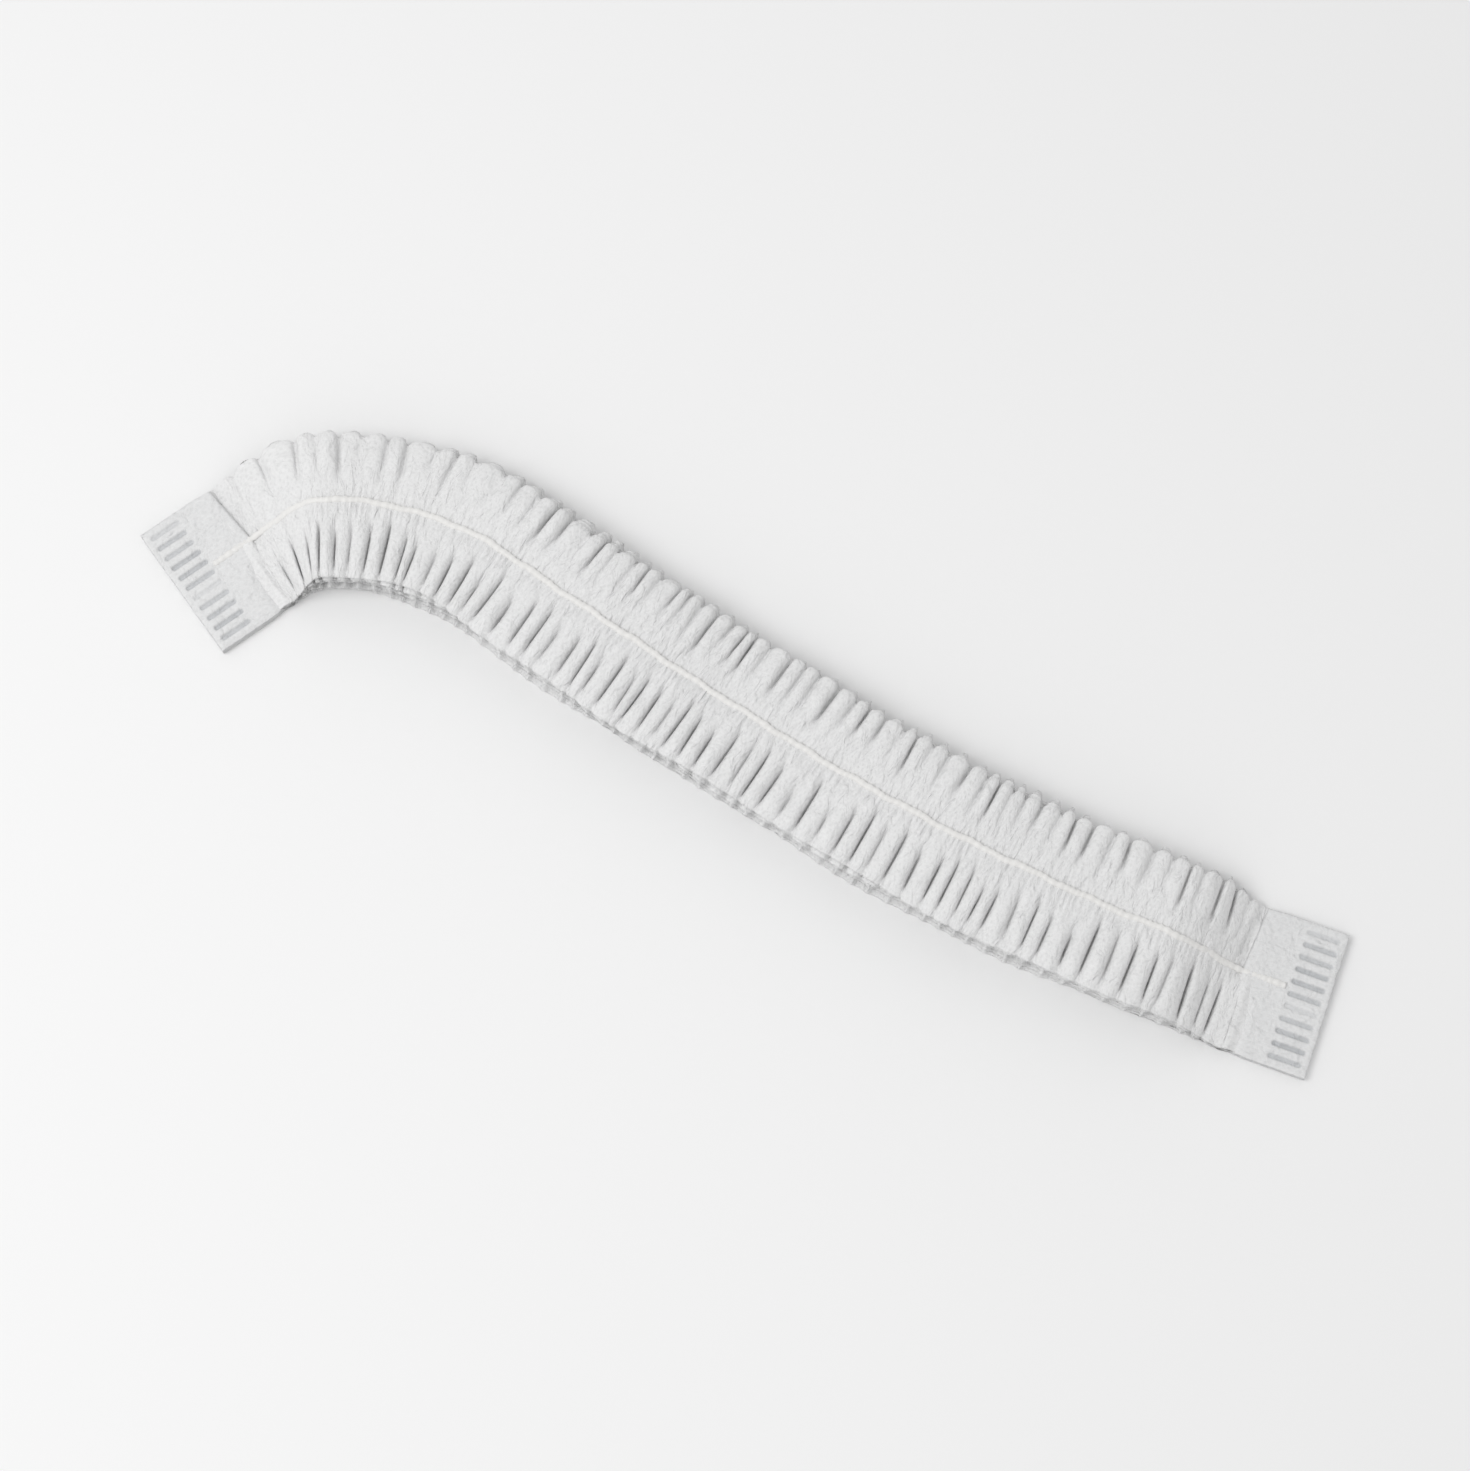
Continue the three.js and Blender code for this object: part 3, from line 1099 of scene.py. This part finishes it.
    def faces(self) -> list[tuple[int, ...]]:
        """The slab's faces: its two grids and the rim between them.

        Returns:
            The faces, as vertex numbers.
        """
        rows = self.barred_rows + self.flat_rows
        size = rows * self.columns
        border = self.border()
        upper = grid_faces(rows, self.columns)
        lower = [tuple(size + corner for corner in reversed(face)) for face in upper]
        rings = [border + size]
        rings += [2 * size + layer * len(border) + np.arange(len(border)) for layer in range(self.layers - 1)]
        rings += [border]
        rim: list[tuple[int, ...]] = []
        for below, above in zip(rings[:-1], rings[1:]):
            for k in range(len(border)):
                after = (k + 1) % len(border)
                rim.append((below[k], below[after], above[after], above[k]))
        return upper + lower + rim


# ---------- finishes


@dataclass(frozen=True)
class SpunbondFinish:
    """Spunbond polypropylene: fine white filaments laid at random and bonded at small points.

    It is matt and lets some light through, and its bond points give a faint even dotting. Under a
    weld bar the filaments are melted to a film, which is greyer, smoother and a little glossy. The
    film's grey is darker still as painted shade, standing in for the shadow in the bars' grooves.
    """

    name: str = "spunbond_polypropylene_white"
    colour: str = "F7F7F7"
    bond_colour: str = "F1F1F1"
    # Partly the melted film's own grey and partly painted shade: darkened to stand in for the shadow inside
    # the weld bars' grooves.
    film_grey_and_groove_shade: str = "D0D2D4"
    roughness: float = 0.88
    film_roughness: float = 0.45
    # Real bond points are about 0.5 mm wide at 1.1 mm pitch; they are drawn coarser so that they show.
    bond_pitch: float = 1.3 * MM
    # Real filaments are 0.02 mm thick; their clumps are drawn at this size.
    fibre_size: float = 0.35 * MM
    crumple_size: float = 3.2 * MM
    crumple_depth: float = 0.9 * MM
    fibre_depth: float = 0.12 * MM
    bond_depth: float = 0.08 * MM
    translucent: float = 0.1

    def material(self) -> bpy.types.Material:
        """Makes the cloth's material.

        Returns:
            The material.
        """
        made = bpy.data.materials.new(self.name)
        made.use_nodes = True
        tree = made.node_tree
        tree.nodes.clear()
        place = add_node(tree, "ShaderNodeUVMap", {"uv_map": "cloth"})
        fused = add_node(tree, "ShaderNodeAttribute", {"attribute_name": "fused"})
        bond = self.bond_points(tree, place)
        fibre = self.fibres(tree, place)
        crumple = add_node(
            tree,
            "ShaderNodeTexNoise",
            {"noise_dimensions": "2D"},
            {"Scale": 1.0 / self.crumple_size, "Detail": 3.0, "Roughness": 0.55, "Distortion": 0.4},
            {"Vector": place.outputs["UV"]},
        )
        colour = add_node(
            tree,
            "ShaderNodeMix",
            {"data_type": "RGBA"},
            {6: linear(self.colour), 7: linear(self.bond_colour)},
            {0: bond.outputs["Color"]},
        )
        # Where the attribute "fused" is high the colour turns to the film's grey, which also carries painted
        # shade for the bars' grooves.
        welded = add_node(
            tree,
            "ShaderNodeMix",
            {"data_type": "RGBA"},
            {7: linear(self.film_grey_and_groove_shade)},
            {0: fused.outputs["Fac"], 6: colour.outputs[2]},
        )
        cloudy = add_node(
            tree,
            "ShaderNodeMapRange",
            values={"From Min": 0.3, "From Max": 0.7, "To Min": 0.9, "To Max": 1.0},
            links={"Value": fibre.outputs["Fac"]},
        )
        shaded = add_node(
            tree,
            "ShaderNodeMix",
            {"data_type": "RGBA", "blend_type": "MULTIPLY"},
            {0: 1.0},
            {6: welded.outputs[2], 7: cloudy.outputs["Result"]},
        )
        normal = self.relief(tree, crumple, fibre, bond)
        rough = add_node(
            tree,
            "ShaderNodeMix",
            values={2: self.roughness, 3: self.film_roughness},
            links={0: fused.outputs["Fac"]},
        )
        body = add_node(
            tree,
            "ShaderNodeBsdfPrincipled",
            values={"Sheen Weight": 0.12, "Sheen Roughness": 0.5},
            links={"Base Color": shaded.outputs[2], "Roughness": rough.outputs[0], "Normal": normal},
        )
        through = add_node(
            tree, "ShaderNodeBsdfTranslucent", links={"Color": shaded.outputs[2], "Normal": normal}
        )
        both = add_node(
            tree,
            "ShaderNodeMixShader",
            values={"Fac": self.translucent},
            links={1: body.outputs["BSDF"], 2: through.outputs["BSDF"]},
        )
        add_node(tree, "ShaderNodeOutputMaterial", links={"Surface": both.outputs["Shader"]})
        return made

    def bond_points(self, tree: bpy.types.NodeTree, place: bpy.types.Node) -> bpy.types.Node:
        """The even diagonal dotting of the bond points.

        Args:
            tree: the material's node tree.
            place: the node that gives the flat cloth's places.

        Returns:
            A node whose colour is 1 in a point and 0 elsewhere.
        """
        turned = add_node(
            tree,
            "ShaderNodeMapping",
            values={"Rotation": (0.0, 0.0, math.radians(45))},
            links={"Vector": place.outputs["UV"]},
        )
        points = add_node(
            tree,
            "ShaderNodeTexVoronoi",
            {"feature": "F1", "voronoi_dimensions": "2D"},
            {"Scale": 1.0 / self.bond_pitch, "Randomness": 0.45},
            {"Vector": turned.outputs["Vector"]},
        )
        bond = add_node(tree, "ShaderNodeValToRGB", links={"Fac": points.outputs["Distance"]})
        ramp_stops(bond, [(0.16, 1.0), (0.3, 0.0)])
        return bond

    def fibres(self, tree: bpy.types.NodeTree, place: bpy.types.Node) -> bpy.types.Node:
        """The clumps of filaments, drawn out a little along the web.

        Args:
            tree: the material's node tree.
            place: the node that gives the flat cloth's places.

        Returns:
            A node whose factor varies with the clumps.
        """
        stretched = add_node(
            tree,
            "ShaderNodeMapping",
            values={"Rotation": (0.0, 0.0, math.radians(17)), "Scale": (1.0, 3.0, 1.0)},
            links={"Vector": place.outputs["UV"]},
        )
        return add_node(
            tree,
            "ShaderNodeTexNoise",
            {"noise_dimensions": "2D"},
            {"Scale": 1.0 / (3.0 * self.fibre_size), "Detail": 5.0, "Roughness": 0.75, "Distortion": 0.8},
            {"Vector": stretched.outputs["Vector"]},
        )

    def relief(
        self,
        tree: bpy.types.NodeTree,
        crumple: bpy.types.Node,
        fibre: bpy.types.Node,
        bond: bpy.types.Node,
    ) -> bpy.types.NodeSocket:
        """The cloth's small relief: soft crumples, filaments and dented bond points.

        Args:
            tree: the material's node tree.
            crumple: the node of the soft crumples.
            fibre: the node of the filaments.
            bond: the node of the bond points.

        Returns:
            The socket of the bent normal.
        """
        soft = add_node(
            tree,
            "ShaderNodeBump",
            values={"Strength": 0.85, "Distance": self.crumple_depth},
            links={"Height": crumple.outputs["Fac"]},
        )
        fine = add_node(
            tree,
            "ShaderNodeBump",
            values={"Strength": 0.4, "Distance": self.fibre_depth},
            links={"Height": fibre.outputs["Fac"], "Normal": soft.outputs["Normal"]},
        )
        dotted = add_node(
            tree,
            "ShaderNodeBump",
            {"invert": True},
            {"Strength": 0.22, "Distance": self.bond_depth},
            {"Height": bond.outputs["Color"], "Normal": fine.outputs["Normal"]},
        )
        return dotted.outputs["Normal"]


@dataclass(frozen=True)
class RubberFinish:
    """Extruded white elastomer thread: satin, a little warmer than the cloth, with fine dusting."""

    name: str = "elastomer_thread_white"
    colour: str = "ECEBE9"
    roughness: float = 0.6
    dust_size: float = 0.6 * MM
    dust_depth: float = 0.06 * MM

    def material(self) -> bpy.types.Material:
        """Makes the thread's material.

        Returns:
            The material.
        """
        made = bpy.data.materials.new(self.name)
        made.use_nodes = True
        tree = made.node_tree
        tree.nodes.clear()
        place = add_node(tree, "ShaderNodeTexCoord")
        dust = add_node(
            tree,
            "ShaderNodeTexNoise",
            values={"Scale": 1.0 / self.dust_size, "Detail": 3.0, "Roughness": 0.6},
            links={"Vector": place.outputs["Object"]},
        )
        tone = add_node(
            tree,
            "ShaderNodeMapRange",
            values={"From Min": 0.3, "From Max": 0.7, "To Min": 0.94, "To Max": 1.0},
            links={"Value": dust.outputs["Fac"]},
        )
        colour = add_node(
            tree,
            "ShaderNodeMix",
            {"data_type": "RGBA", "blend_type": "MULTIPLY"},
            {0: 1.0, 6: linear(self.colour)},
            {7: tone.outputs["Result"]},
        )
        bump = add_node(
            tree,
            "ShaderNodeBump",
            values={"Strength": 0.25, "Distance": self.dust_depth},
            links={"Height": dust.outputs["Fac"]},
        )
        body = add_node(
            tree,
            "ShaderNodeBsdfPrincipled",
            values={"Roughness": self.roughness, "IOR": 1.5},
            links={"Base Color": colour.outputs[2], "Normal": bump.outputs["Normal"]},
        )
        add_node(tree, "ShaderNodeOutputMaterial", links={"Surface": body.outputs["BSDF"]})
        return made


# ---------- the studio


@dataclass
class Studio:
    """A plain pale floor, soft lights and the camera."""

    floor_colour: str = "F4F4F4"
    floor_half: float = 1.5
    elevation: float = 76.0
    azimuth: float = 5.0
    distance: float = 0.565
    lens: float = 75.0
    sensor: float = 36.0
    world_strength: float = 0.68
    key_place: tuple[float, float, float] = (-0.42, -0.12, 0.76)
    key_size: float = 0.45
    key_power: float = 2.8

    def build(self, middle: Array) -> None:
        """Sets the floor, the lights and the camera round the cap.

        Args:
            middle: the place that the camera looks at, in metres.
        """
        self.build_floor()
        self.build_world()
        self.add_area("key", self.key_place, middle, self.key_size, self.key_power)
        bpy.context.scene.view_settings.view_transform = "Standard"
        camera = bpy.data.cameras.new("camera")
        camera.lens = self.lens
        camera.sensor_width = self.sensor
        camera.clip_start = 0.01
        holder = bpy.data.objects.new("camera", camera)
        bpy.context.scene.collection.objects.link(holder)
        tilt, turn = math.radians(self.elevation), math.radians(self.azimuth)
        back = np.array([math.cos(tilt) * math.sin(turn), -math.cos(tilt) * math.cos(turn), math.sin(tilt)])
        holder.location = tuple(middle + self.distance * back)
        holder.rotation_euler = (math.pi / 2 - tilt, 0.0, turn)
        bpy.context.scene.camera = holder

    def build_floor(self) -> None:
        """Makes the floor, a large plane with a matt painted finish."""
        half = self.floor_half
        corners = np.array([(-half, -half, 0), (half, -half, 0), (half, half, 0), (-half, half, 0)], float)
        floor = new_mesh_object("floor", corners, [(0, 1, 2, 3)])
        made = bpy.data.materials.new("matt_floor")
        made.use_nodes = True
        body = made.node_tree.nodes["Principled BSDF"]
        body.inputs["Base Color"].default_value = linear(self.floor_colour)
        body.inputs["Roughness"].default_value = 0.9
        floor.data.materials.append(made)
        floor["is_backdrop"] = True

    def build_world(self) -> None:
        """Makes the even light that comes from all round."""
        world = bpy.data.worlds.new("studio")
        world.use_nodes = True
        background = world.node_tree.nodes["Background"]
        background.inputs["Color"].default_value = (1.0, 1.0, 1.0, 1.0)
        background.inputs["Strength"].default_value = self.world_strength
        bpy.context.scene.world = world

    def add_area(
        self, name: str, place: tuple[float, float, float], aim: Array, size: float, power: float
    ) -> None:
        """Adds a square soft light.

        Args:
            name: the light's name.
            place: where it hangs, in metres.
            aim: the point that it faces.
            size: its side.
            power: its power, in watts.
        """
        light = bpy.data.lights.new(name, "AREA")
        light.size = size
        light.energy = power
        holder = bpy.data.objects.new(name, light)
        bpy.context.scene.collection.objects.link(holder)
        holder.location = place
        away = np.asarray(place) - np.asarray(aim)
        across = math.hypot(away[0], away[1])
        holder.rotation_euler = (math.atan2(across, away[2]), 0.0, math.atan2(away[1], away[0]) + math.pi / 2)


def main() -> None:
    """Builds the cap and the studio."""
    logging.basicConfig(level=logging.INFO, format="%(name)s: %(message)s")
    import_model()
    cad_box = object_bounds()
    route = Route()
    route.fit("front_elastic")
    cloth = SpunbondFinish().material()
    rubber = RubberFinish().material()
    crown = CrownWeb(route)
    web = crown.build(cloth)
    LOG.info("%s: %d faces", web.name, len(web.data.polygons))
    for face in Face:
        thread = ElasticThread(route, crown, face).build(rubber)
        LOG.info("%s: %d faces", thread.name, len(thread.data.polygons))
    for seed, end in enumerate(End, start=3):
        tab = WeldedTab(route, end, seed).build(cloth)
        LOG.info("%s: %d faces", tab.name, len(tab.data.polygons))
    low, high = (np.asarray(corner, float) for corner in cad_box)
    Studio().build((low + high) / 2)


if __name__ == "__main__":
    main()
